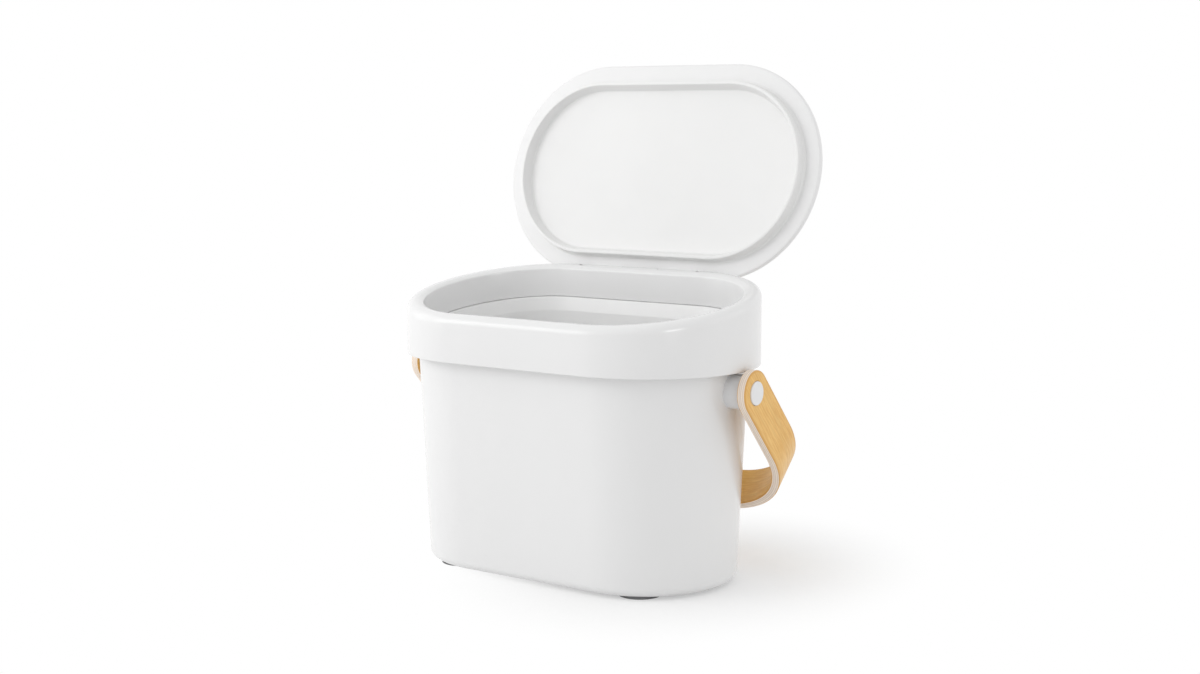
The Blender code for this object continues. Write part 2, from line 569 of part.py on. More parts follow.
def make_pivot(side, word):
    """The pieces of one pivot. They are made for +X and turned round for the other side."""
    outer = STRAP_SPAN / 2
    inner = outer - STRAP_THICKNESS
    boss_end = inner - CLEARANCE - WASHER_THICKNESS - CLEARANCE
    wall = HALF_STRAIGHT + HALF_DEPTH - shell_inset(PIVOT_HEIGHT)
    inside = wall - SHELL_WALL
    spigot_end = inside - NUT_THICKNESS - CLEARANCE * 5
    at = (0, 0, PIVOT_HEIGHT)
    made = []

    boss = turned([(inside, 0), (inside, BOSS_RADIUS), (boss_end - BOSS_EDGE, BOSS_RADIUS),
                   (boss_end, BOSS_RADIUS - BOSS_EDGE), (boss_end, 0)], BOSS_SEGMENTS)
    boss = finish("pivot_boss_" + word, moved(boss, at), (WHITE, 0.34, 0.0))
    grown = tub(shell_rows(CLEARANCE) + [(SHELL_TOP_INSET - CLEARANCE, SHOULDER_HEIGHT + OVERRUN, False)])
    boolean(boss, finish("grown", grown, None), "DIFFERENCE")
    spigot = turned([(spigot_end, 0), (spigot_end, SPIGOT_RADIUS), (wall + OVERRUN, SPIGOT_RADIUS),
                     (wall + OVERRUN, 0)], SPIGOT_SEGMENTS)
    boolean(boss, finish("spigot", moved(spigot, at), None), "UNION")
    bore_end = boss_end - INSERT_LENGTH - CLEARANCE
    bore = turned([(bore_end, 0), (bore_end, INSERT_RADIUS + CLEARANCE),
                   (boss_end + OVERRUN, INSERT_RADIUS + CLEARANCE), (boss_end + OVERRUN, 0)], SPIGOT_SEGMENTS)
    boolean(boss, finish("bore", moved(bore, at), None), "DIFFERENCE")
    made.append(boss)

    nut_out = inside - CLEARANCE * 4
    nut = turned([(nut_out - NUT_THICKNESS, SPIGOT_RADIUS + CLEARANCE), (nut_out - NUT_THICKNESS, NUT_RADIUS),
                  (nut_out, NUT_RADIUS), (nut_out, SPIGOT_RADIUS + CLEARANCE)], SPIGOT_SEGMENTS)
    made.append(finish("boss_nut_" + word, moved(nut, at), (NYLON, 0.5, 0.0)))

    insert = turned([(boss_end - INSERT_LENGTH, THREAD_RADIUS + CLEARANCE),
                     (boss_end - INSERT_LENGTH, INSERT_RADIUS), (boss_end, INSERT_RADIUS),
                     (boss_end, THREAD_RADIUS + CLEARANCE)], SPIGOT_SEGMENTS)
    made.append(finish("pivot_insert_" + word, moved(insert, at), (BRASS, 0.35, 1.0)))

    washer_out = inner - CLEARANCE
    washer = turned([(washer_out - WASHER_THICKNESS, SHOULDER_RADIUS + CLEARANCE),
                     (washer_out - WASHER_THICKNESS, WASHER_RADIUS), (washer_out, WASHER_RADIUS),
                     (washer_out, SHOULDER_RADIUS + CLEARANCE)], SPIGOT_SEGMENTS)
    made.append(finish("pivot_washer_" + word, moved(washer, at), (NYLON, 0.45, 0.0)))

    head = inner + STRAP_WEB + CLEARANCE
    shoulder_end = boss_end + CLEARANCE
    screw_end = boss_end - INSERT_LENGTH
    screw = turned([(screw_end, 0), (screw_end, THREAD_RADIUS), (shoulder_end, THREAD_RADIUS),
                    (shoulder_end, SHOULDER_RADIUS), (head, SHOULDER_RADIUS), (head, SCREW_HEAD_RADIUS),
                    (head + SCREW_HEAD_THICKNESS, SCREW_HEAD_RADIUS),
                    (head + SCREW_HEAD_THICKNESS, SCREW_DRIVE_RADIUS),
                    (head + SCREW_HEAD_THICKNESS - SCREW_DRIVE_DEPTH, SCREW_DRIVE_RADIUS),
                    (head + SCREW_HEAD_THICKNESS - SCREW_DRIVE_DEPTH, 0)], SPIGOT_SEGMENTS)
    made.append(finish("pivot_screw_" + word, moved(screw, at), (STEEL, 0.3, 1.0)))

    cap_in = head + SCREW_HEAD_THICKNESS + CLEARANCE
    cap_out = outer + CAP_PROUD
    cap = turned([(cap_in, 0), (cap_in, CAP_RADIUS), (cap_out - CAP_EDGE, CAP_RADIUS),
                  (cap_out - CAP_EDGE / 3, CAP_RADIUS - CAP_EDGE / 3), (cap_out, CAP_RADIUS - CAP_EDGE),
                  (cap_out, 0)], CAP_SEGMENTS)
    cap = finish("pivot_cap_" + word, cap, (WHITE, 0.3, 0.0))
    if side < 0:
        for piece in made + [cap]:
            piece.data.transform(Matrix.Rotation(math.pi, 4, "Z"))
    cap.location = at
    cap.rotation_euler = (HANDLE_REST, 0, 0)
    return made, cap


def make_feet():
    feet = []
    for back, row in ((-1, "front"), (1, "back")):
        for side, word in ((-1, "left"), (1, "right")):
            profile = [(0, 0), (0, FOOT_RADIUS - FOOT_EDGE), (FOOT_EDGE, FOOT_RADIUS),
                       (FOOT_HEIGHT, FOOT_RADIUS), (FOOT_HEIGHT, 0)]
            made = finish("foot_" + row + "_" + word, turned(profile, FOOT_SEGMENTS, False), (RUBBER, 0.8, 0.0))
            made.location = (side * (HALF_STRAIGHT + HALF_DEPTH - FOOT_FROM_END),
                             back * (HALF_DEPTH - FOOT_FROM_SIDE), 0)
            feet.append(made)
    return feet


def empty(name, place):
    made = bpy.data.objects.new(name, None)
    made.location = place
    made.empty_display_size = BOSS_RADIUS
    bpy.context.scene.collection.objects.link(made)
    return made


def attach(child, parent):
    bpy.context.view_layer.update()
    child.parent = parent
    child.matrix_parent_inverse = parent.matrix_world.inverted()


def centre(body):
    """Moves the whole part along Y, so that the middle of its bounding box is over the origin."""
    bpy.context.view_layer.update()
    depths = [(piece.matrix_world @ vertex.co).y for piece in bpy.data.objects if piece.type == "MESH"
              for vertex in piece.data.vertices]
    body.location.y -= (min(depths) + max(depths)) / 2


def main():
    clear_scene()
    body = empty("body", (0, 0, 0))
    top = empty("collar_slide", (0, 0, 0))
    lid_axis = empty("lid_axis", (0, HINGE_Y, HINGE_Z))
    handle_axis = empty("handle_axis", (0, 0, PIVOT_HEIGHT))
    attach(top, body)
    attach(lid_axis, top)
    attach(handle_axis, body)
    fixed = [make_shell(), make_bucket()] + make_feet()
    turning = [make_strap()]
    for side, word in ((-1, "left"), (1, "right")):
        made, cap = make_pivot(side, word)
        fixed += made
        turning.append(cap)
    for piece in fixed:
        attach(piece, body)
    for piece in turning:
        attach(piece, handle_axis)
    for piece in (make_collar(), make_pin()):
        attach(piece, top)
    for piece in make_lid():
        attach(piece, lid_axis)
    centre(body)


if __name__ == "__main__":
    main()
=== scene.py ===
"""Kitchen compost bin with a strap handle: its looks, laid out as a Blender add-on.

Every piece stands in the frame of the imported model, in metres. Pieces are shaped round the
middle of the bin's own base and then moved with it, because the open lid shifts the origin.
"""

import json
import math

import bmesh
import bpy
from bpy.props import FloatProperty, FloatVectorProperty, IntProperty, PointerProperty
from mathutils import Matrix, Vector


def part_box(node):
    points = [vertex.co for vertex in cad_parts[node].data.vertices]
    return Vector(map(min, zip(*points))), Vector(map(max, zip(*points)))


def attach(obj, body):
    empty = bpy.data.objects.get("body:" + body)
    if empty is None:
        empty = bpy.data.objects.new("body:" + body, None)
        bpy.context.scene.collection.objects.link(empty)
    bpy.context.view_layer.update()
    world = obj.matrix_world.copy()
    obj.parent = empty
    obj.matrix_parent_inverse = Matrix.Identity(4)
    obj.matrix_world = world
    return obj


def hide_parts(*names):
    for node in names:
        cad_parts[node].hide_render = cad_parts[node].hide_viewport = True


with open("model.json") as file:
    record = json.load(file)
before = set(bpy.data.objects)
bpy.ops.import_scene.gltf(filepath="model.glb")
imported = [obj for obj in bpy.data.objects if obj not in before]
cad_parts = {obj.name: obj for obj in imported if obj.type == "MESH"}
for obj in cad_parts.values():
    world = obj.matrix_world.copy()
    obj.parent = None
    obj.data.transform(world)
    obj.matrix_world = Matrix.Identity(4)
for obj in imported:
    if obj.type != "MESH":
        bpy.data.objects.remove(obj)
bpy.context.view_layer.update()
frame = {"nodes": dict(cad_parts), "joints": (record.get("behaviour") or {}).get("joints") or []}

bl_info = {
    "name": "Compost bin",
    "version": (1, 0, 0),
    "blender": (4, 5, 0),
    "location": "3D View > Sidebar > Compost bin",
    "description": "Builds a compost bin with a tilted collar, a hinged lid and a strap handle",
    "category": "Object",
}

WELD = 0.000002  # Points nearer than this become one.
SHARP = math.radians(35)  # Angle from which an edge is shaded sharp.
OVERRUN = 0.002  # Reach of a cutting shape past what it cuts.
CLEARANCE = 0.0003  # Gap between neighbouring pieces.
SLIDE_CLEARANCE = 0.0005  # Gap between the shell's lip and the sliding collar.
JOIN = 0.0004  # Depth to which joined shapes overlap.
SNAP_FIT = 0.00004  # Gap between things that press or rest on each other.
SORTING = Vector((1.0, 3.7390851, 13.1487213))  # Uneven weights, so that no two places tie.

# Roundings of the shell's lip, the collar's skirt, the lid's pocket, the washers and the bucket.
LIP_EDGE, SKIRT_EDGE, POCKET_EDGE, WASHER_EDGE = 0.0005, 0.0004, 0.0002, 0.0001
FLANGE_EDGE, THROAT_EDGE, THROAT_BEND = 0.0003, 0.0008, 0.002
CROWN_LEVEL, CROWN_SWEEP = 0.0018, 0.009  # Level width of the crown, and the radius where it falls.
SPIGOT_END = CLEARANCE * 5  # How far a spigot stands out of its nut.
FACE_BORDER = 0.001  # Width of the ring of faces inside the strap's edges.

# Where the glue lines lie through the strap, and how far one spreads, as shares of its thickness.
GLUE_LINES, GLUE_SPREAD = (0.28, 0.50, 0.72), 0.045
OUTLINE = 0.0012  # Width of the darker line inside the strap's edges.

# Width, height, turn from the front to the right, and rise of each lamp.
LAMPS = {"key": (0.9, 0.9, -43, 26), "side": (1.6, 1.4, -68, 20), "back": (1.5, 1.2, 118, 20),
         "accent": (0.5, 0.5, 60, 13)}
LAMP_DISTANCE, LAMP_AIM = 1.9, 0.13
FLOOR_RADIUS = 14
# The oval round the bin's shadow in which the floor's painted white glow is weaker: its stretch and
# the shift of its centre.
SHADOW_STRETCH, SHADOW_SHIFT = (1.22, 1, 1), (-0.078, -0.018, 0)
CAMERA_PLACE = Matrix((
    (0.8200240731, -0.0712351799, 0.5678786039, 0.6951603889),
    (0.5723290443, 0.1020646468, -0.8136475086, -0.9930856452),
    (0, 0.9922239780, 0.1244654283, 0.3109485507),
    (0, 0, 0, 1)))

JOINTS = {joint["name"]: joint for joint in frame["joints"]}
SHELL_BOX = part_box("shell")
BIN_MIDDLE = (SHELL_BOX[0].y + SHELL_BOX[1].y) / 2
HINGE, PIVOT = (Vector(JOINTS[name]["pos_m"]) - Vector((0, BIN_MIDDLE, 0))
                for name in ("lid_hinge", "handle_swing"))
LID_OPENING = math.radians(JOINTS["lid_hinge"]["range_deg"][1])
SIDES = ((-1, "left"), (1, "right"))


# Sizes and colours that a user would change.

def length(name, description, default):
    return FloatProperty(name=name, description=description, default=default, min=0, precision=5,
                         subtype="DISTANCE", unit="LENGTH")


def colour(name, description, default):
    return FloatVectorProperty(name=name, description=description, default=default, min=0, max=1,
                               size=3, subtype="COLOR")


def share(name, description, default):
    return FloatProperty(name=name, description=description, default=default, min=0, max=1,
                         subtype="FACTOR")


def watts(name, description, default):
    return FloatProperty(name=name, description=description, default=default, min=0, unit="POWER")


def steps(name, description, default):
    return IntProperty(name=name, description=description, default=default, min=8, max=200)


class PlanSizes(bpy.types.PropertyGroup):
    half_straight: length("Half straight", "Half the length of a straight side", 0.0533)
    half_depth: length("Half depth", "Radius of the round ends at the collar", 0.078)
    rim_tilt: FloatProperty(name="Rim tilt", description="How the rim rises to the back",
                            default=math.radians(9.3), subtype="ANGLE", unit="ROTATION")
    end_steps: steps("End steps", "Faces round one end", 72)


class ShellSizes(bpy.types.PropertyGroup):
    base: length("Base height", "Height of the underside", 0.0021)
    base_inset: length("Base inset", "Inset of the wall's foot", 0.0146)
    top_inset: length("Top inset", "Inset of the wall's top", 0.0082)
    wall: length("Wall", "Thickness", 0.0022)
    floor: length("Floor", "Thickness", 0.0024)
    fillet: length("Base rounding", "Radius where the wall meets the base", 0.0062)
    shoulder: length("Shoulder height", "Height where the wall steps out", 0.149)
    shoulder_rise: length("Shoulder rise", "Height of its slope", 0.0012)
    lip_rise: length("Lip rise", "Lowest height of the lip", 0.0023)


class CollarSizes(bpy.types.PropertyGroup):
    bottom: length("Lower edge", "Height of the lower edge", 0.1475)
    above_lip: length("Height above the lip", "From the lip to the crown", 0.02453)
    wall: length("Outer wall", "Thickness", 0.0024)
    crown: length("Crown", "Thickness", 0.0023)
    inner_wall: length("Inner wall", "Thickness", 0.002)
    edge: length("Top rounding", "Radius of the outer top edge", 0.0056)
    foot_edge: length("Foot rounding", "Radius of the lower edge", 0.0008)
    rim_width: length("Rim width", "Width of the crown", 0.01265)
    end_gain: length("End gain", "Extra length of the opening at an end", 0.0012)
    dish: length("Dish", "Fall of the crown to its inner edge", 0.0019)
    lip: length("Inner rounding", "Radius of the inner top edge", 0.0013)


class BucketSizes(bpy.types.PropertyGroup):
    wall: length("Wall", "Thickness", 0.0016)
    floor: length("Floor", "Thickness", 0.002)
    flange: length("Flange", "Thickness", 0.0018)
    throat: length("Throat", "Inset of the throat from the rim", 0.0012)
    step: length("Step", "Height of the sloping throat", 0.0075)
    top_inset: length("Top inset", "Inset of the wall's top", 0.0148)
    base_inset: length("Base inset", "Inset of the wall's foot", 0.0186)
    fillet: length("Base rounding", "Radius where the wall meets the floor", 0.006)
    lift: length("Lift", "Gap below the floor", 0.0014)


class LidSizes(bpy.types.PropertyGroup):
    growth: length("Growth", "Reach past the collar", 0.00038)
    thickness: length("Thickness", "Thickness at the edge", 0.00497)
    skin: length("Skin", "Thickness over the pocket", 0.002)
    top_edge: length("Top rounding", "Radius of the upper edge", 0.0022)
    low_edge: length("Lower rounding", "Radius of the lower edge", 0.0013)
    liner: length("Liner", "Thickness", 0.0018)
    sink: length("Sink", "Depth of the panel below the flange", 0.0004)
    plug_height: length("Plug height", "Height of the ring", 0.0072)
    plug_wall: length("Plug wall", "Thickness at the ring's free edge", 0.0024)
    plug_edge: length("Plug rounding", "Radius of the ring's edges", 0.0007)
    plug_slope: length("Plug slope", "Run of the ring's inner side", 0.0022)
    plug_fillet: length("Plug fillet", "Radius between the ring and the panel", 0.0012)
    plug_foot: length("Plug foot", "Spread of the ring's foot", 0.0018)
    plug_draft: length("Plug draft", "Run of the ring's outer side", 0.0007)
    plug_clearance: length("Plug clearance", "Gap between the ring and the rim", 0.00045)
    hinge_inset: length("Hinge inset", "From the back edge to the pin", 0.003)
    hinge_drop: length("Hinge drop", "From the underside to the pin", 0.0041)
    knuckle: length("Barrels", "Radius", 0.003)
    centre_knuckle: length("Centre barrel", "Length", 0.0314)
    recess: length("Hinge's recess", "Length", 0.1030)
    lining: length("Lining", "Wall round the recess", 0.0021)
    recess_depth: length("Recess depth", "Gap below the barrels", 0.0013)
    recess_floor: length("Recess floor", "Floor below the recess", 0.0024)
    end_gap: length("End gap", "Gap at the ends of the recess", 0.0037)
    front_gap: length("Front gap", "Gap in front of the barrels", 0.0009)
    pin: length("Pin", "Radius", 0.0012)
    pin_overhang: length("Pin overhang", "Reach of the pin into the collar", 0.0059)


class StrapSizes(bpy.types.PropertyGroup):
    width: length("Width", "Width of the strap", 0.03)
    thickness: length("Thickness", "Thickness of the strap", 0.006)
    side_gap: length("Side gap", "Gap between the collar and an arm", 0.0027)
    rest_gap: length("Rest gap", "Gap to the back wall at rest", 0.00113)
    reach: length("Reach", "From the pivots to the grip's outside", 0.1185)
    bend: length("Bend", "Outer radius of the bends", 0.0677)
    edge: length("Edge rounding", "Radius of the strap's edges", 0.0007)
    web: length("Web", "Wood under the screw's head", 0.002)
    veneer: length("Outer plies", "Thickness", 0.0007)
    bend_steps: steps("Bend steps", "Faces along one bend", 52)


class PivotSizes(bpy.types.PropertyGroup):
    boss: length("Boss", "Radius", 0.0115)
    boss_edge: length("Boss rounding", "Radius of its outer edge", 0.0006)
    spigot: length("Spigot through the wall", "Radius", 0.006)
    nut: length("Nut", "Thickness", 0.0021)
    washer: length("Washer", "Radius", 0.0088)
    washer_thickness: length("Washer thickness", "Thickness", 0.0007)
    insert: length("Brass insert", "Radius", 0.0034)
    insert_length: length("Insert length", "Length", 0.0084)
    shoulder: length("Screw's shoulder", "Radius", 0.0038)
    head: length("Screw's head", "Thickness", 0.0017)
    cap: length("Cap", "Radius", 0.0079)
    cap_proud: length("Cap height", "Height above the wood", 0.0009)
    cap_edge: length("Cap rounding", "Radius of the cap's edge", 0.0006)


class FootSizes(bpy.types.PropertyGroup):
    radius: length("Radius", "Radius of a foot", 0.015)
    height: length("Height", "Height of a foot", 0.002)
    edge: length("Rounding", "Radius of its lower edge", 0.0006)
    from_end: length("From the ends", "From the collar's end to a foot", 0.0565)
    from_side: length("From the sides", "From the collar's side to a foot", 0.0408)


class Finishes(bpy.types.PropertyGroup):
    white: colour("White", "Shell, collar and lid", (0.85, 0.85, 0.85))
    liner: colour("Liner", "Panel inside the lid", (0.85, 0.85, 0.845))
    # The bosses' darker grey is painted shade, for the shade under the collar and the strap; they are
    # moulded in the same white.
    boss: colour("Boss", "Bosses", (0.72, 0.72, 0.725))
    bucket: colour("Bucket", "Inner bucket", (0.86, 0.86, 0.857))
    cap: colour("Cap", "Pivots' caps", (0.84, 0.845, 0.85))
    honey: colour("Wood", "Strap's faces", (0.865, 0.54, 0.168))
    # The inner face's darker, warmer tint is painted shade, for the shade on the strap's inner side;
    # it is the same wood.
    inner: colour("Inner wood", "Tint of the inner face", (0.87, 0.81, 0.55))
    outline: colour("Wood outline", "Colour along its edges", (0.70, 0.37, 0.09))
    ply: colour("Plies", "Pale plies", (0.95, 0.84, 0.73))
    glue: colour("Glue lines", "Colour between the plies", (0.67, 0.51, 0.39))
    rubber: colour("Rubber", "Feet", (0.17, 0.17, 0.175))
    nylon: colour("Nylon", "Washers and nuts", (0.82, 0.82, 0.80))
    steel: colour("Steel", "Pin and screws", (0.62, 0.62, 0.63))
    brass: colour("Brass", "Inserts", (0.72, 0.55, 0.25))
    satin: share("Satin", "Roughness of the white plastic", 0.2)
    lacquer: share("Lacquer", "Roughness of the wood's lacquer", 0.36)


class StageSettings(bpy.types.PropertyGroup):
    lens: FloatProperty(name="Lens", description="Focal length of the camera in millimetres",
                        default=52.488, min=10, max=200)
    key: watts("Key light", "Power, from the front left", 6.5)
    side: watts("Side light", "Power, from the left", 5.4)
    back: watts("Back light", "Power, from the back right", 2.9)
    accent: watts("Accent light", "Power, seen only as a highlight", 6)
    ambient: FloatProperty(name="Ambient light", description="Strength of the light from all round",
                           default=0.81, min=0, max=2)
    shadow_glow: share("Paper", "Whiteness of the shadow's heart", 0.38)
    shadow_glow_start: length("Shadow heart", "Radius where the shadow is full", 0.054)
    shadow_glow_end: length("Shadow reach", "Radius where the floor is white", 0.202)


class BinSettings(bpy.types.PropertyGroup):
    plan: PointerProperty(type=PlanSizes)
    shell: PointerProperty(type=ShellSizes)
    collar: PointerProperty(type=CollarSizes)
    bucket: PointerProperty(type=BucketSizes)
    lid: PointerProperty(type=LidSizes)
    strap: PointerProperty(type=StrapSizes)
    pivot: PointerProperty(type=PivotSizes)
    foot: PointerProperty(type=FootSizes)
    finish: PointerProperty(type=Finishes)
    stage: PointerProperty(type=StageSettings)


def settings():
    return bpy.context.scene.compost_bin


# Measures that follow from the sizes. Heights of tilted edges are those at the bin's middle.

def lip_height():
    plan, shell = settings().plan, settings().shell
    return (shell.shoulder + shell.shoulder_rise + shell.wall
            + plan.half_depth * math.tan(plan.rim_tilt) + shell.lip_rise)


def rim_height():
    return lip_height() + settings().collar.above_lip


def bucket_seat():
    return lip_height() + CLEARANCE


def skirt_bottom():
    return bucket_seat() + settings().bucket.flange + CLEARANCE


def shell_lean():
    shell = settings().shell
    return (shell.base_inset - shell.top_inset) / (shell.shoulder - shell.base - shell.fillet)


def strap_span():
    plan, strap = settings().plan, settings().strap
    return 2 * (plan.half_straight + plan.half_depth + strap.side_gap + strap.thickness)


def strap_rest():
    """Angle from straight down at which the strap comes to rest by the leaning back wall."""
    plan, shell, strap, lean = settings().plan, settings().shell, settings().strap, shell_lean()
    reach, half = strap.reach - strap.thickness, strap.width / 2
    back = plan.half_depth - shell.top_inset - lean * (shell.shoulder - PIVOT.z) + strap.rest_gap
    along, across = reach + lean * half, lean * reach - half
    return math.asin(back / math.hypot(along, across)) - math.atan2(across, along)


# Modelling.

def round_corner(mesh, corner, radius, segments):
    """Rounds a vertex of a profile, where two of its edges meet."""
    first, second = (edge.other_vert(corner).co - corner.co for edge in corner.link_edges)
    turn = math.pi - first.angle(second)
    bmesh.ops.bevel(mesh, geom=[corner], offset=radius * math.tan(turn / 2), affect="VERTICES",
                    segments=segments, profile=0.5, material=-1)


def profile(mesh, corners, places, closed, segments):
    """Draws a line of edges through the places, and rounds those whose corner has a radius."""
    line = [mesh.verts.new(place) for place in places]
    for first, second in zip(line, line[1:] + line[:1] if closed else line[1:]):
        mesh.edges.new((first, second))
    for vertex, (_, _, radius) in zip(line, corners):
        if radius:
            round_corner(mesh, vertex, radius, segments)


def only(kind, items):
    return [item for item in items if isinstance(item, kind)]


def carried(mesh, edges, offset):
    """Extrudes edges, moves the new ones, and returns them."""
    made = bmesh.ops.extrude_edge_only(mesh, edges=edges)["geom"]
    moving = set(only(bmesh.types.BMVert, made))
    bmesh.ops.translate(mesh, verts=list(moving), vec=offset)
    return [edge for edge in only(bmesh.types.BMEdge, made) if set(edge.verts) <= moving]


def in_order(mesh):
    """Sorts a mesh by place, so that later steps meet its parts in the same order each run."""
    mesh.verts.sort(key=lambda vert: vert.co.dot(SORTING))
    mesh.edges.sort(key=lambda edge: (edge.verts[0].co + edge.verts[1].co).dot(SORTING))
    mesh.faces.sort(key=lambda face: face.calc_center_median().dot(SORTING))


def closed_up(mesh):
    """Welds the seams of a shape, and turns its faces outwards."""
    in_order(mesh)
    bmesh.ops.remove_doubles(mesh, verts=mesh.verts, dist=WELD)
    in_order(mesh)
    bmesh.ops.recalc_face_normals(mesh, faces=mesh.faces)
    return mesh


def swept(corners, closed=False):
    """Carries a profile round the plan. Corners are (inset from the collar, height, rounding)."""
    plan = settings().plan
    mesh = bmesh.new()
    profile(mesh, corners, [(0, inset - plan.half_depth, height) for inset, height, _ in corners],
            closed, segments=6)
    front = carried(mesh, mesh.edges[:], (plan.half_straight, 0, 0))
    points = list(dict.fromkeys(vert for edge in front for vert in edge.verts))
    end = bmesh.ops.spin(mesh, geom=points + front, cent=(plan.half_straight, 0, 0), axis=(0, 0, 1),
                         angle=math.pi, steps=plan.end_steps)["geom_last"]
    carried(mesh, only(bmesh.types.BMEdge, end), (-plan.half_straight, 0, 0))
    bmesh.ops.mirror(mesh, geom=mesh.verts[:] + mesh.edges[:] + mesh.faces[:], axis="X",
                     merge_dist=WELD)
    return closed_up(mesh)


def turned(corners, centre=(0, 0, 0), axis="X", closed=False, steps=96):
    """Turns a profile about an axis through a point. Corners are (along, radius, rounding)."""
    mesh = bmesh.new()
    along = Vector((1, 0, 0)) if axis == "X" else Vector((0, 0, 1))
    out = Vector((0, 1, 0))
    profile(mesh, corners, [along * place + out * radius for place, radius, _ in corners], closed,
            segments=4)
    bmesh.ops.spin(mesh, geom=mesh.verts[:] + mesh.edges[:], cent=(0, 0, 0), axis=along,
                   angle=2 * math.pi, steps=steps, use_merge=True)
    bmesh.ops.translate(mesh, verts=mesh.verts, vec=centre)
    return closed_up(mesh)


def block(low, high):
    mesh = bmesh.new()
    low, high = Vector(low), Vector(high)
    bmesh.ops.create_cube(mesh, size=1, matrix=Matrix.LocRotScale((low + high) / 2, None, high - low))
    return mesh


def barrel(low, high, radius, place=HINGE):
    """A round bar along X through a place."""
    return turned([(low, 0, 0), (low, radius, 0), (high, radius, 0), (high, 0, 0)], place, steps=48)


def tilted_above(mesh, level):
    """Slopes what stands above a level, as the rim slopes."""
    slope = Matrix.Identity(4)
    slope[2][1] = math.tan(settings().plan.rim_tilt)
    bmesh.ops.transform(mesh, matrix=slope, verts=[vert for vert in mesh.verts if vert.co.z > level])
    return mesh


def lengthened(mesh, inset):
    """Moves what lies further in than an inset towards both ends."""
    plan, gain = settings().plan, settings().collar.end_gain

    def inset_of(place):
        past_straight = max(abs(place.x) - plan.half_straight, 0)
        return plan.half_depth - math.hypot(past_straight, place.y)

    for side, _ in SIDES:
        ends = [vert for vert in mesh.verts
                if vert.co.x * side > plan.half_straight / 2 and inset_of(vert.co) > inset]
        bmesh.ops.translate(mesh, verts=ends, vec=(side * gain, 0, 0))
    return mesh


def linked(made):
    bpy.context.scene.collection.objects.link(made)
    return made


def as_object(name, mesh):
    data = bpy.data.meshes.new(name)
    mesh.to_mesh(data)
    mesh.free()
    return linked(bpy.data.objects.new(name, data))


def combine(piece, mesh, operation):
    """Applies one exact Boolean to a piece."""
    tool = as_object("tool", mesh)
    change = piece.modifiers.new(operation, "BOOLEAN")
    change.operation, change.solver, change.object = operation, "EXACT", tool
    made = bpy.data.meshes.new_from_object(piece.evaluated_get(bpy.context.evaluated_depsgraph_get()))
    piece.modifiers.remove(change)
    welded = bmesh.new()
    welded.from_mesh(made)
    bmesh.ops.remove_doubles(welded, verts=welded.verts, dist=WELD)
    welded.to_mesh(made)
    welded.free()
    old, piece.data = piece.data, made
    bpy.data.meshes.remove(old)
    bpy.data.objects.remove(tool, do_unlink=True)


def finished(piece, look, body, slot, *nodes):
    """Places a piece in the frame, shades it, and puts it in its nodes' place."""
    piece.data.transform(Matrix.Translation((0, BIN_MIDDLE, 0)))
    piece.data.shade_smooth()
    piece.data.set_sharp_from_angle(angle=SHARP)
    piece.data.materials.clear()
    piece.data.materials.append(look)
    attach(piece, body)
    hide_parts(*nodes)
    return piece


# Finishes.

class Nodes:
    """Nodes under construction."""

    def __init__(self, tree):
        self.tree = tree

    def add(self, kind, values=None, **options):
        """Adds a node. Values go to its inputs, and outputs among them are linked."""
        made = self.tree.nodes.new(kind)
        for option, value in options.items():
            setattr(made, option, value)
        self.give(made, values or {})
        return made

    def give(self, receiver, values):
        for place, value in values.items():
            socket = receiver.inputs[place]
            if isinstance(value, bpy.types.NodeSocket):
                self.tree.links.new(value, socket)
            else:
                socket.default_value = value

    def reckoned(self, operation, first, second):
        return self.add("ShaderNodeMath", {0: first, 1: second}, operation=operation).outputs[0]

    def ranged(self, value, low, high, new_low, new_high, kind="LINEAR"):
        return self.add("ShaderNodeMapRange", {"Value": value, "From Min": low, "From Max": high,
                                               "To Min": new_low, "To Max": new_high},
                        interpolation_type=kind).outputs["Result"]

    def seen(self):
        """1 for rays that the picture sees, and 0 for those that carry light."""
        path = self.add("ShaderNodeLightPath").outputs
        either = self.reckoned("MAXIMUM", path["Is Camera Ray"], path["Is Glossy Ray"])
        return self.reckoned("MAXIMUM", either, path["Is Transmission Ray"])


class Look(Nodes):
    """A node material under construction."""

    def __init__(self, name):
        self.material = bpy.data.materials.new(name)
        self.material.use_nodes = True
        super().__init__(self.material.node_tree)
        self.shader = self.tree.nodes["Principled BSDF"]

    def here(self):
        return self.add("ShaderNodeTexCoord").outputs["Object"]

    def noise(self, where, scale, detail=3.0, roughness=0.5):
        return self.add("ShaderNodeTexNoise", {"Vector": where, "Scale": scale, "Detail": detail,
                                               "Roughness": roughness}).outputs["Fac"]

    def mapped(self, where, scales, shift=(0, 0, 0)):
        return self.add("ShaderNodeMapping", {"Vector": where, "Scale": scales,
                                              "Location": shift}).outputs["Vector"]

    def drawn_out(self, where, scales, detail=3.0, roughness=0.5):
        """Noise with a scale for each direction."""
        return self.noise(self.mapped(where, scales), 1, detail, roughness)

    def mixed(self, share, first, second, kind="MIX"):
        made = self.add("ShaderNodeMix", data_type="RGBA", blend_type=kind)
        self.give(made, {0: share, 6: first, 7: second})
        return made.outputs[2]

    def mottled(self, pattern, low, high, base, first, second, most=1):
        """Goes from one tint of a base to another as a pattern rises."""
        return self.mixed(self.ranged(pattern, low, high, 0, most), tint(base, first),
                          tint(base, second))

    def bumped(self, height, distance, strength, normal=None):
        values = {"Height": height, "Distance": distance, "Strength": strength}
        if normal:
            values["Normal"] = normal
        return self.add("ShaderNodeBump", values).outputs["Normal"]


def tint(base, amount=1.0):
    """A colour a little lighter or darker, with its alpha."""
    return (*(min(1, channel * amount) for channel in base), 1)


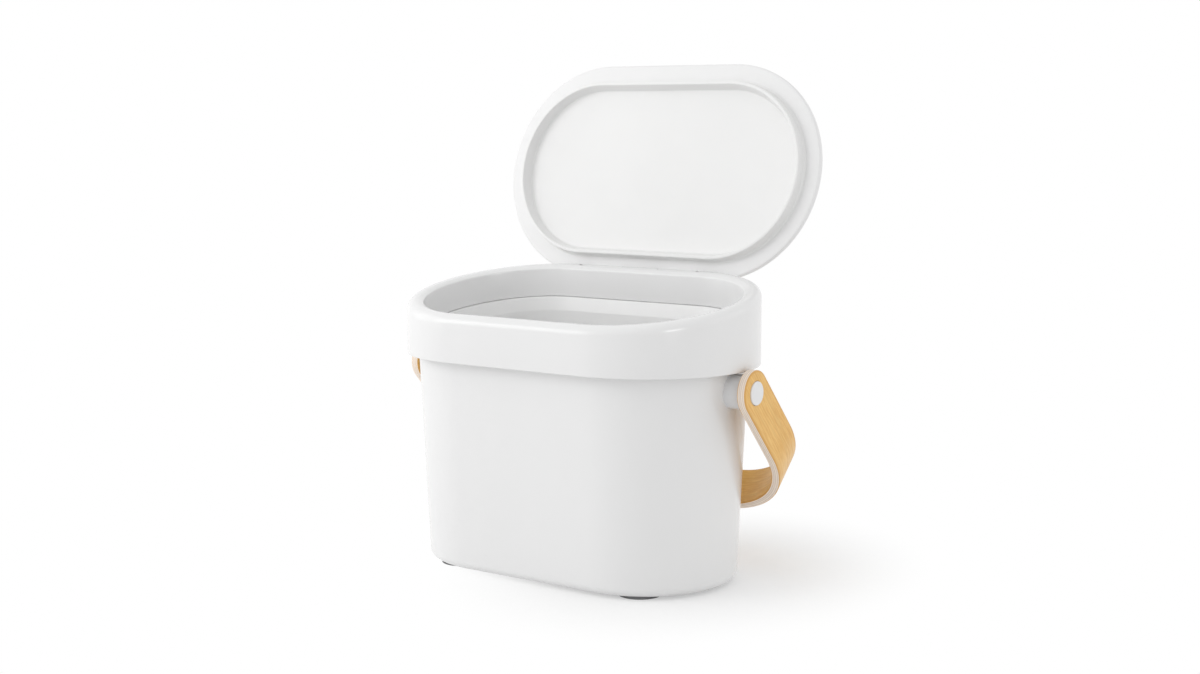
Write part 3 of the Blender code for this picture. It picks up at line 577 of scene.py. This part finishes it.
def moulded_plastic(name, base, rougher=0.0, texture=0.05):
    """Moulded plastic with faint flow marks, soft sink marks and a fine texture."""
    look = Look(name)
    here = look.here()
    roughness = settings().finish.satin + rougher
    flow = look.noise(look.mapped(here, (1, 1, 0.45)), 14, 4)
    scuff = look.noise(here, 95, 5, 0.62)
    sink_marks = look.bumped(look.noise(here, 22, 2), 0.0012, 0.025)
    look.give(look.shader, {
        "Base Color": look.mottled(flow, 0.3, 0.7, base, 0.988, 1.008),
        "Roughness": look.ranged(scuff, 0.3, 0.75, roughness - 0.03, roughness + 0.07),
        "Normal": look.bumped(look.noise(here, 2600, 2), 0.00006, texture, sink_marks), "IOR": 1.46})
    return look.material


def laminated_wood(name, finish, strap):
    """Bent laminated wood. It reads the strap's flat places: along, across and through its plies."""
    look = Look(name)
    place = look.add("ShaderNodeAttribute", attribute_name="board_place").outputs["Vector"]
    border = look.add("ShaderNodeAttribute", attribute_name="board_border").outputs["Fac"]
    through = look.add("ShaderNodeSeparateXYZ", {"Vector": place}).outputs["Z"]

    vein = look.drawn_out(place, (20, 600, 240), 5, 0.55)
    fibre = look.drawn_out(place, (55, 850, 500), 4, 0.65)
    sweep = look.drawn_out(place, (7, 90, 30))
    pore = look.drawn_out(place, (70, 2400, 900), 2)
    face = look.mixed(look.ranged(vein, 0.4, 0.62, 0, 1, "SMOOTHSTEP"), tint(finish.honey, 1.06),
                      tint(finish.honey, 0.95))
    for pattern, low, high, most, over in ((fibre, 0.42, 0.6, 0.9, tint(finish.outline, 1.08)),
                                           (sweep, 0.35, 0.65, 0.18, tint(finish.honey, 1.12)),
                                           (pore, 0.62, 0.7, 0.4, tint(finish.outline, 0.85))):
        face = look.mixed(look.ranged(pattern, low, high, 0, most), face, over)

    plies = look.add("ShaderNodeValToRGB", {"Fac": look.ranged(through, 0, strap.thickness, 0, 1)})
    edge = strap.veneer / strap.thickness
    stops = [(edge, tint(finish.ply, 1.04))]
    for line, before, after in zip(GLUE_LINES, (1.03, 0.95, 1.03), (0.97, 1.05, 0.97)):
        stops += [(line - GLUE_SPREAD, tint(finish.ply, before)), (line, tint(finish.glue)),
                  (line + GLUE_SPREAD, tint(finish.ply, after))]
    stops += [(1 - edge, tint(finish.ply, 1.04))]
    elements = plies.color_ramp.elements
    elements[0].position, elements[0].color = stops[0]
    elements[1].position, elements[1].color = stops[-1]
    for position, value in stops[1:-1]:
        elements.new(position).color = value
    endgrain = look.drawn_out(place, (220, 2600, 1700), 3, 0.6)
    side = look.mixed(look.ranged(endgrain, 0.4, 0.72, 0, 0.3), plies.outputs["Color"],
                      tint(finish.glue, 1.2))

    fade = strap.veneer * 0.8
    outer = look.ranged(through, strap.thickness - strap.veneer, strap.thickness - fade, 0, 1)
    inner = look.ranged(through, fade, strap.veneer, 1, 0)
    # Painted shade: the inner face is multiplied darker and warmer, for the shade it stands in.
    face = look.mixed(inner, face, tint(finish.inner), "MULTIPLY")
    rim = look.ranged(border, strap.edge, strap.edge + OUTLINE, 0.8, 0, "SMOOTHSTEP")
    face = look.mixed(rim, face, tint(finish.outline))

    look.give(look.shader, {
        "Base Color": look.mixed(look.reckoned("MAXIMUM", outer, inner), side, face),
        "Roughness": look.ranged(fibre, 0.3, 0.7, finish.lacquer - 0.05, finish.lacquer + 0.12),
        "Normal": look.bumped(fibre, 0.00012, 0.22), "IOR": 1.43,
        "Coat Weight": 0.05, "Coat Roughness": 0.28})
    return look.material


def matt_rubber(name, base):
    """Rubber with a dusty bloom and a fine pebble."""
    look = Look(name)
    here = look.here()
    bloom = look.noise(here, 160, 4, 0.6)
    pebble = look.add("ShaderNodeTexVoronoi", {"Vector": here, "Scale": 1500}).outputs["Distance"]
    look.give(look.shader, {
        "Base Color": look.mottled(bloom, 0.4, 0.7, base, 1.0, 1.5, 0.5),
        "Roughness": look.ranged(bloom, 0.3, 0.7, 0.72, 0.92),
        "Normal": look.bumped(pebble, 0.0001, 0.3)})
    return look.material


def turned_metal(name, base, roughness):
    """Metal with the fine rings that turning about X leaves."""
    look = Look(name)
    here = look.here()
    rings = look.drawn_out(here, (4200, 60, 60), 3, 0.6)
    look.give(look.shader, {
        "Base Color": look.mottled(look.noise(here, 240), 0.4, 0.7, base, 1.0, 0.86, 0.6),
        "Roughness": look.ranged(rings, 0.3, 0.7, roughness - 0.06, roughness + 0.1),
        "Normal": look.bumped(rings, 0.00003, 0.3), "Metallic": 1.0})
    return look.material


def milky_nylon(name, base):
    """Natural nylon, slightly waxy and uneven."""
    look = Look(name)
    here = look.here()
    cloud = look.noise(here, 320)
    look.give(look.shader, {
        "Base Color": look.mottled(cloud, 0.35, 0.7, base, 1.0, 0.93),
        "Roughness": look.ranged(cloud, 0.3, 0.7, 0.42, 0.56),
        "Normal": look.bumped(look.noise(here, 1800, 2), 0.00005, 0.2)})
    return look.material


def shared_look(name, maker, *values):
    """Finds a material by name, or makes it."""
    return bpy.data.materials.get(name) or maker(name, *values)


# Pieces.

class PieceOperator:
    """Runs build, and reports what it made."""
    bl_options = {"REGISTER", "UNDO"}

    def execute(self, context):
        made = self.build(settings())
        if not made:
            raise RuntimeError(self.bl_label + " made no piece")
        self.report({"INFO"}, "Made " + ", ".join(piece.name for piece in made))
        return {"FINISHED"}


class BIN_OT_shell(PieceOperator, bpy.types.Operator):
    """Builds the tapered tub with its rounded base, its shoulder and its lip"""
    bl_idname = "compost_bin.shell"
    bl_label = "Shell"

    def build(self, sizes):
        plan, shell = sizes.plan, sizes.shell
        lip = sizes.collar.wall + SLIDE_CLEARANCE
        foot = shell.base_inset + shell_lean() * shell.fillet
        half_rise = shell.shoulder_rise / 2
        shoulder = shell.shoulder + shell.shoulder_rise
        floor, inner = shell.base + shell.floor, shoulder + shell.wall
        mesh = swept([
            (plan.half_depth, shell.base, 0),
            (foot, shell.base, shell.fillet),
            (shell.top_inset, shell.shoulder, 0),
            (lip + half_rise, shell.shoulder + half_rise, 0),
            (lip, shoulder, 0),
            (lip, lip_height(), LIP_EDGE),
            (lip + shell.wall, lip_height(), LIP_EDGE),
            (lip + shell.wall, inner, 0),
            (shell.top_inset + shell.wall, inner - shell.shoulder_rise, 0),
            (foot + shell.wall, floor, shell.fillet - shell.wall),
            (plan.half_depth, floor, 0),
        ])
        made = as_object("shell_tub", tilted_above(mesh, inner + JOIN))
        reach = plan.half_straight + plan.half_depth
        for side, _ in SIDES:
            low, high = sorted((side * (reach - shell.base_inset * 2), side * reach))
            combine(made, barrel(low, high, sizes.pivot.spigot + CLEARANCE, PIVOT), "DIFFERENCE")
        look = shared_look("satin white plastic", moulded_plastic, sizes.finish.white)
        return [finished(made, look, "bin", "shell_white", "shell")]


class BIN_OT_bucket(PieceOperator, bpy.types.Operator):
    """Builds the lift-out bucket, which hangs by its flange on the shell's lip"""
    bl_idname = "compost_bin.bucket"
    bl_label = "Inner bucket"

    def build(self, sizes):
        plan, shell, collar, bucket = sizes.plan, sizes.shell, sizes.collar, sizes.bucket
        seat = bucket_seat()
        top, rim = seat - bucket.step, seat + bucket.flange
        base = shell.base + shell.floor + bucket.lift
        floor = base + bucket.floor
        throat = collar.rim_width + bucket.throat
        outer = collar.wall + SLIDE_CLEARANCE + CLEARANCE
        mesh = swept([
            (plan.half_depth, base, 0),
            (bucket.base_inset, base, bucket.fillet),
            (bucket.top_inset, top, THROAT_BEND),
            (throat - bucket.wall, seat, THROAT_BEND / 2),
            (outer, seat, FLANGE_EDGE),
            (outer, rim, FLANGE_EDGE),
            (throat, rim, THROAT_EDGE),
            (bucket.top_inset + bucket.wall, top, THROAT_BEND),
            (bucket.base_inset + bucket.wall, floor, bucket.fillet - bucket.wall),
            (plan.half_depth, floor, 0),
        ])
        made = as_object("inner_bucket", tilted_above(mesh, top - THROAT_BEND))
        look = shared_look("bucket plastic", moulded_plastic, sizes.finish.bucket, 0.12, 0.12)
        return [finished(made, look, "bin", "bucket_white", "bucket")]


class BIN_OT_collar(PieceOperator, bpy.types.Operator):
    """Builds the ring round the top, with its tilted crown and the hinge's recess and barrel"""
    bl_idname = "compost_bin.collar"
    bl_label = "Collar"

    def build(self, sizes):
        plan, collar, lid = sizes.plan, sizes.collar, sizes.lid
        rim, skirt = rim_height(), skirt_bottom()
        corner = collar.edge - collar.wall
        inner = collar.rim_width - collar.inner_wall
        mesh = swept([
            (0, collar.bottom, collar.foot_edge),
            (0, rim, collar.edge),
            (collar.edge + CROWN_LEVEL, rim, CROWN_SWEEP),
            (collar.rim_width, rim - collar.dish, collar.lip),
            (collar.rim_width, skirt, SKIRT_EDGE),
            (inner, skirt, SKIRT_EDGE),
            (inner, rim - collar.dish - collar.crown, 0),
            (collar.wall + corner, rim - collar.crown, 0),
            (collar.wall, rim - collar.crown - corner, 0),
            (collar.wall, collar.bottom, collar.foot_edge),
        ], closed=True)
        lengthened(mesh, inner - JOIN)
        made = as_object("collar_ring", tilted_above(mesh, collar.bottom + collar.foot_edge * 2))

        half = lid.recess / 2
        end = half + lid.pin_overhang + lid.lining / 2
        front = (HINGE.y - lid.knuckle * math.cos(plan.rim_tilt)
                 - lid.hinge_drop * math.sin(plan.rim_tilt) - lid.front_gap)
        floor = HINGE.z - lid.knuckle - lid.recess_depth
        combine(made, block((-end, front - lid.lining, floor - lid.recess_floor),
                            (end, plan.half_depth - collar.wall / 2, HINGE.z + lid.pin + CLEARANCE)),
                "UNION")
        combine(made, block((-half, front, floor),
                            (half, plan.half_depth + OVERRUN, HINGE.z + lid.thickness + OVERRUN)),
                "DIFFERENCE")
        centre = lid.centre_knuckle / 2
        combine(made, block((-centre, HINGE.y - lid.knuckle, floor - JOIN),
                            (centre, HINGE.y + lid.knuckle * 2 / 3, HINGE.z)), "UNION")
        combine(made, barrel(-centre, centre, lid.knuckle), "UNION")
        bore = half + lid.pin_overhang + CLEARANCE
        combine(made, barrel(-bore, bore, lid.pin + CLEARANCE), "DIFFERENCE")
        look = shared_look("satin white plastic", moulded_plastic, sizes.finish.white)
        return [finished(made, look, "collar", "collar_white", "collar")]


class BIN_OT_lid(PieceOperator, bpy.types.Operator):
    """Builds the lid's cover with its hinge barrels, and the liner with its plug ring"""
    bl_idname = "compost_bin.lid"
    bl_label = "Lid"

    def build(self, sizes):
        """Both pieces are made flat, with the underside on Z = 0, and then opened on the hinge."""
        plan, lid, finish = sizes.plan, sizes.lid, sizes.finish
        outer = sizes.collar.rim_width + lid.plug_clearance
        pocket, roof = outer - SNAP_FIT, lid.thickness - lid.skin
        mesh = swept([
            (plan.half_depth, lid.thickness, 0),
            (-lid.growth, lid.thickness, lid.top_edge),
            (-lid.growth, 0, lid.low_edge),
            (pocket, 0, POCKET_EDGE),
            (pocket, roof, 0),
            (plan.half_depth, roof, 0),
        ])
        cover = as_object("lid_shell", lengthened(mesh, pocket - JOIN))
        along = plan.half_depth + lid.growth - lid.hinge_inset
        pin = Vector((0, along, -lid.hinge_drop))
        near, far = lid.centre_knuckle / 2 + CLEARANCE, lid.recess / 2 - lid.end_gap
        for side, _ in SIDES:
            low, high = sorted((side * near, side * far))
            combine(cover, block((low, along - lid.knuckle, -lid.hinge_drop),
                                 (high, along + lid.hinge_inset - lid.low_edge, JOIN)), "UNION")
            combine(cover, barrel(low, high, lid.knuckle, pin), "UNION")
            combine(cover, barrel(low - OVERRUN, high + OVERRUN, lid.pin + CLEARANCE, pin),
                    "DIFFERENCE")

        foot = outer - lid.plug_foot
        thin_edge = SNAP_FIT * 4
        inner = outer + lid.plug_draft + lid.plug_wall
        mesh = swept([
            (plan.half_depth, lid.sink + lid.liner, 0),
            (outer, lid.sink + lid.liner, 0),
            (outer, -SNAP_FIT, 0),
            (foot, -SNAP_FIT, 0),
            (foot, -thin_edge, 0),
            (outer, -thin_edge, lid.plug_foot * 0.9),
            (outer + lid.plug_draft, -lid.plug_height, lid.plug_edge),
            (inner, -lid.plug_height, lid.plug_edge),
            (inner + lid.plug_slope, lid.sink, lid.plug_fillet),
            (plan.half_depth, lid.sink, 0),
        ])
        liner = as_object("lid_panel", lengthened(mesh, foot - JOIN))
        for piece in (cover, liner):
            piece.data.transform(Matrix.Translation(HINGE)
                                 @ Matrix.Rotation(plan.rim_tilt - LID_OPENING, 4, "X")
                                 @ Matrix.Translation(-pin))
        white = shared_look("lid plastic", moulded_plastic, finish.white, 0.2)
        matt = shared_look("matt white plastic", moulded_plastic, finish.liner, 0.15, 0.12)
        return [finished(cover, white, "lid", "lid_white", "lid_cover"),
                finished(liner, matt, "lid", "liner_white", "lid_liner")]


def bent(place, strap, flat, radius):
    """Where a point of the flat board (along, across, through) lies on the bent strap.

    Its grip is straight up to flat from the middle, and then bends into the arms.
    """
    along, across, through = place
    side, along = math.copysign(1, along), abs(along)
    grip = strap.reach - strap.thickness / 2
    out = through - strap.thickness / 2
    angle = min(max((along - flat) / radius, 0), math.pi / 2)
    x = min(along, flat) + radius * math.sin(angle)
    down = grip - radius + radius * math.cos(angle) - max(along - flat - radius * math.pi / 2, 0)
    return Vector((side * (x + out * math.sin(angle)), across, -(down + out * math.cos(angle))))


def flat_sides(mesh):
    """The board's two flat sides, which alone have more than four corners."""
    return [face for face in mesh.faces if len(face.verts) > 4]


class BIN_OT_strap(PieceOperator, bpy.types.Operator):
    """Builds the strap as a flat board with round ends, drills it, and bends it to a U"""
    bl_idname = "compost_bin.strap"
    bl_label = "Handle strap"

    def build(self, sizes):
        strap, pivot = sizes.strap, sizes.pivot
        radius = strap.bend - strap.thickness / 2
        flat = (strap_span() - strap.thickness) / 2 - radius
        arc = radius * math.pi / 2
        drill = flat + arc + strap.reach - strap.thickness / 2 - radius
        half_width = strap.width / 2
        mesh = bmesh.new()
        bmesh.ops.create_grid(mesh, x_segments=1, y_segments=1, size=1,
                              matrix=Matrix.Diagonal((drill + half_width, half_width, 1, 1)))
        bmesh.ops.bevel(mesh, geom=mesh.verts[:], offset=half_width, affect="VERTICES", segments=28,
                        profile=0.5, material=-1)
        bmesh.ops.remove_doubles(mesh, verts=mesh.verts, dist=WELD)
        board = bmesh.ops.extrude_face_region(mesh, geom=mesh.faces[:])["geom"]
        bmesh.ops.translate(mesh, verts=only(bmesh.types.BMVert, board),
                            vec=(0, 0, strap.thickness))
        closed_up(mesh)
        bmesh.ops.bevel(mesh, geom=[edge for face in flat_sides(mesh) for edge in face.edges],
                        offset=strap.edge, affect="EDGES", segments=3, profile=0.5, material=-1)
        bmesh.ops.inset_region(mesh, faces=flat_sides(mesh), thickness=FACE_BORDER,
                               use_even_offset=True)
        cuts = [flat + arc * step / strap.bend_steps for step in range(strap.bend_steps + 1)]
        for cut in {sign * cut for cut in cuts + [flat / 2, 0] for sign in (-1, 1)}:
            bmesh.ops.bisect_plane(mesh, geom=mesh.verts[:] + mesh.edges[:] + mesh.faces[:],
                                   dist=WELD / 4, plane_co=(cut, 0, 0), plane_no=(1, 0, 0))
        made = as_object("strap_board", closed_up(mesh))
        bore, seat = pivot.shoulder + CLEARANCE, pivot.cap + CLEARANCE
        for side, _ in SIDES:
            combine(made, turned([
                (-OVERRUN, 0, 0), (-OVERRUN, bore, 0), (strap.web, bore, 0), (strap.web, seat, 0),
                (strap.thickness + OVERRUN, seat, 0), (strap.thickness + OVERRUN, 0, 0)],
                (side * drill, 0, 0), axis="Z"), "DIFFERENCE")

        made.data.attributes.new("board_place", "FLOAT_VECTOR", "POINT")
        made.data.attributes.new("board_border", "FLOAT", "POINT")
        places, borders = (made.data.attributes[name] for name in ("board_place", "board_border"))
        for index, vertex in enumerate(made.data.vertices):
            from_middle = math.hypot(max(abs(vertex.co.x) - drill, 0), vertex.co.y)
            places.data[index].vector = vertex.co
            borders.data[index].value = half_width - from_middle
            vertex.co = bent(vertex.co, strap, flat, radius)
        made.data.transform(Matrix.Translation(PIVOT) @ Matrix.Rotation(strap_rest(), 4, "X"))
        mesh = bmesh.new()
        mesh.from_mesh(made.data)
        bmesh.ops.recalc_face_normals(mesh, faces=mesh.faces)
        mesh.to_mesh(made.data)
        mesh.free()
        look = shared_look("bent laminated wood", laminated_wood, sizes.finish, strap)
        return [finished(made, look, "handle", "laminated_wood", "handle_strap")]


class BIN_OT_pivots(PieceOperator, bpy.types.Operator):
    """Builds the bosses that hold the strap off the shell, their washers and the strap's caps"""
    bl_idname = "compost_bin.pivots"
    bl_label = "Pivots"

    def build(self, sizes):
        """Each is made for the right side about X, and then turned and moved to its pivot."""
        plan, shell, strap, pivot = sizes.plan, sizes.shell, sizes.strap, sizes.pivot
        outer = strap_span() / 2
        inner = outer - strap.thickness
        washer_end = inner - CLEARANCE
        washer_start = washer_end - pivot.washer_thickness
        boss_end = washer_start - CLEARANCE
        wall = (plan.half_straight + plan.half_depth - shell.top_inset
                - shell_lean() * (shell.shoulder - PIVOT.z))
        inside = wall - shell.wall
        axle = Vector()
        # The bosses take the darker grey: painted shade, for the shade they stand in under the collar
        # and the strap.
        boss_white = shared_look("boss plastic", moulded_plastic, sizes.finish.boss)
        cap_white = shared_look("cap plastic", moulded_plastic, sizes.finish.cap)
        nylon = shared_look("natural nylon", milky_nylon, sizes.finish.nylon)
        made = []
        for side, word in SIDES:
            boss = as_object("boss_" + word, turned([
                (inside, 0, 0), (inside, pivot.boss, 0), (boss_end, pivot.boss, pivot.boss_edge),
                (boss_end, 0, 0)]))
            # The shell's outside, a hair larger, is cut away.
            grow = CLEARANCE / 10
            foot = shell.base_inset + shell_lean() * shell.fillet
            low, high = shell.base - PIVOT.z, shell.shoulder - PIVOT.z
            combine(boss, swept([(plan.half_depth, low, 0), (foot - grow, low, 0),
                                 (shell.top_inset - grow, high, 0), (plan.half_depth, high, 0)]),
                    "DIFFERENCE")
            combine(boss, barrel(inside - pivot.nut - SPIGOT_END, wall + OVERRUN, pivot.spigot,
                                 axle), "UNION")
            combine(boss, barrel(boss_end - pivot.insert_length - CLEARANCE, boss_end + OVERRUN,
                                 pivot.insert + CLEARANCE, axle), "DIFFERENCE")

            hole = pivot.shoulder + CLEARANCE
            washer = as_object("washer_" + word, turned([
                (washer_start, hole, 0), (washer_start, pivot.washer, WASHER_EDGE),
                (washer_end, pivot.washer, WASHER_EDGE), (washer_end, hole, 0)], closed=True))

            under, top = inner + strap.web + pivot.head + 2 * CLEARANCE, outer + pivot.cap_proud
            cap = as_object("cap_" + word, turned([
                (under, 0, 0), (under, pivot.cap, 0), (top, pivot.cap, pivot.cap_edge), (top, 0, 0)]))

            for piece in (boss, washer, cap):
                piece.data.transform(Matrix.Translation(PIVOT)
                                     @ Matrix.Rotation(0 if side > 0 else math.pi, 4, "Z"))
            made += [finished(boss, boss_white, "bin", "boss_white", "pivot_boss_" + word),
                     finished(washer, nylon, "bin", "nylon", "pivot_washer_" + word),
                     finished(cap, cap_white, "handle", "cap_white", "pivot_cap_" + word)]
        return made


class BIN_OT_feet(PieceOperator, bpy.types.Operator):
    """Builds the four round rubber feet"""
    bl_idname = "compost_bin.feet"
    bl_label = "Feet"

    def build(self, sizes):
        plan, foot = sizes.plan, sizes.foot
        rubber = shared_look("foot rubber", matt_rubber, sizes.finish.rubber)
        made = []
        for back, row in ((-1, "front_"), (1, "back_")):
            for side, word in SIDES:
                centre = Vector((side * (plan.half_straight + plan.half_depth - foot.from_end),
                                 back * (plan.half_depth - foot.from_side), 0))
                piece = as_object("rest_" + row + word, turned([
                    (0, 0, 0), (0, foot.radius, foot.edge), (foot.height, foot.radius, 0),
                    (foot.height, 0, 0)], centre, axis="Z"))
                made.append(finished(piece, rubber, "bin", "foot_rubber", "foot_" + row + word))
        return made


class BIN_OT_fittings(PieceOperator, bpy.types.Operator):
    """Gives the hidden pin, screws, inserts and nuts their metals and nylon"""
    bl_idname = "compost_bin.fittings"
    bl_label = "Hidden fittings"

    def build(self, sizes):
        steel = shared_look("turned steel", turned_metal, sizes.finish.steel, 0.3)
        brass = shared_look("turned brass", turned_metal, sizes.finish.brass, 0.34)
        nylon = shared_look("natural nylon", milky_nylon, sizes.finish.nylon)
        looks = {"hinge_pin": steel}
        for _, word in SIDES:
            looks.update({"pivot_screw_" + word: steel, "pivot_insert_" + word: brass,
                          "boss_nut_" + word: nylon})
        for name, look in looks.items():
            node = frame["nodes"][name]
            node.data.materials.clear()
            node.data.materials.append(look)
        return [frame["nodes"][name] for name in looks]


# Floor, lamps and camera.

def lamp(name, power, width, height, turn, rise):
    """A flat lamp that faces the bin, turned from the front to the right and raised."""
    data = bpy.data.lights.new(name, "AREA")
    data.energy, data.shape, data.size, data.size_y = power, "RECTANGLE", width, height
    turn, rise = math.radians(turn), math.radians(rise)
    away = Vector((math.sin(turn) * math.cos(rise), -math.cos(turn) * math.cos(rise), math.sin(rise)))
    made = linked(bpy.data.objects.new(name, data))
    made.location = Vector((0, BIN_MIDDLE, LAMP_AIM)) + away * LAMP_DISTANCE
    made.rotation_euler = (-away).to_track_quat("-Z", "Y").to_euler()
    return made


class BIN_OT_stage(PieceOperator, bpy.types.Operator):
    """Builds the pale floor, the studio lamps, the even surrounding light and the camera"""
    bl_idname = "compost_bin.stage"
    bl_label = "Stage"

    def build(self, sizes):
        scene, stage = bpy.context.scene, sizes.stage
        mesh = bmesh.new()
        bmesh.ops.create_circle(mesh, cap_ends=True, radius=FLOOR_RADIUS, segments=64,
                                matrix=Matrix.Translation((0, 0, -SNAP_FIT)))
        floor = as_object("floor", mesh)
        look = Look("studio_floor")
        look.give(look.shader, {
            "Base Color": look.mottled(look.noise(look.here(), 40), 0.3, 0.7, (1, 1, 1), 0.83, 0.85),
            "Roughness": 0.9, "Specular IOR Level": 0.1})
        # To the camera the floor is mixed with white glow. The glow is weakest over an oval where the
        # bin's shadow falls and rises to plain white at the oval's edge, so the lamps' shadow fades
        # out into painted white.
        oval = look.mapped(look.here(), SHADOW_STRETCH, SHADOW_SHIFT)
        away = look.add("ShaderNodeVectorMath", {0: oval}, operation="LENGTH").outputs["Value"]
        shadow_glow = look.ranged(away, stage.shadow_glow_start, stage.shadow_glow_end, stage.shadow_glow, 1, "SMOOTHSTEP")
        white = look.add("ShaderNodeEmission", {"Color": (1, 1, 1, 1), "Strength": 1.0}).outputs[0]
        mix = look.add("ShaderNodeMixShader", {0: look.reckoned("MULTIPLY", look.seen(), shadow_glow),
                                               1: look.shader.outputs[0], 2: white})
        look.give(look.tree.nodes["Material Output"], {"Surface": mix.outputs[0]})
        floor.data.materials.append(look.material)

        scene.world = scene.world or bpy.data.worlds.new("surroundings")
        scene.world.use_nodes = True
        scene.world.node_tree.nodes.clear()
        around = Nodes(scene.world.node_tree)
        strength = around.ranged(around.seen(), 0, 1, stage.ambient, 1)
        light = around.add("ShaderNodeBackground", {"Color": (1, 1, 1, 1), "Strength": strength})
        around.add("ShaderNodeOutputWorld", {"Surface": light.outputs[0]})

        for name, measures in LAMPS.items():
            lamp(name, getattr(stage, name), *measures).visible_diffuse = name != "accent"

        data = bpy.data.cameras.new("camera")
        data.lens, data.sensor_width, data.clip_start, data.clip_end = stage.lens, 36, 0.01, 100
        scene.camera = linked(bpy.data.objects.new("camera", data))
        scene.camera.matrix_world = CAMERA_PLACE
        scene.view_settings.view_transform = "Standard"
        return [floor]


class BIN_PT_panel(bpy.types.Panel):
    """Lists the pieces and the stage"""
    bl_idname = "BIN_PT_panel"
    bl_label = "Compost bin"
    bl_space_type = "VIEW_3D"
    bl_region_type = "UI"
    bl_category = "Compost bin"

    def draw(self, context):
        for piece in PIECES:
            self.layout.operator(piece.bl_idname)


PIECES = (BIN_OT_shell, BIN_OT_bucket, BIN_OT_collar, BIN_OT_lid, BIN_OT_strap, BIN_OT_pivots,
          BIN_OT_feet, BIN_OT_fittings, BIN_OT_stage)
CLASSES = (PlanSizes, ShellSizes, CollarSizes, BucketSizes, LidSizes, StrapSizes, PivotSizes,
           FootSizes, Finishes, StageSettings, BinSettings, *PIECES, BIN_PT_panel)


def register():
    for found in CLASSES:
        bpy.utils.register_class(found)
    bpy.types.Scene.compost_bin = PointerProperty(type=BinSettings)


def unregister():
    del bpy.types.Scene.compost_bin
    for found in reversed(CLASSES):
        bpy.utils.unregister_class(found)


def main():
    register()
    for name in ("shell", "bucket", "collar", "lid", "strap", "pivots", "feet", "fittings", "stage"):
        getattr(bpy.ops.compost_bin, name)()


if __name__ == "__main__":
    main()
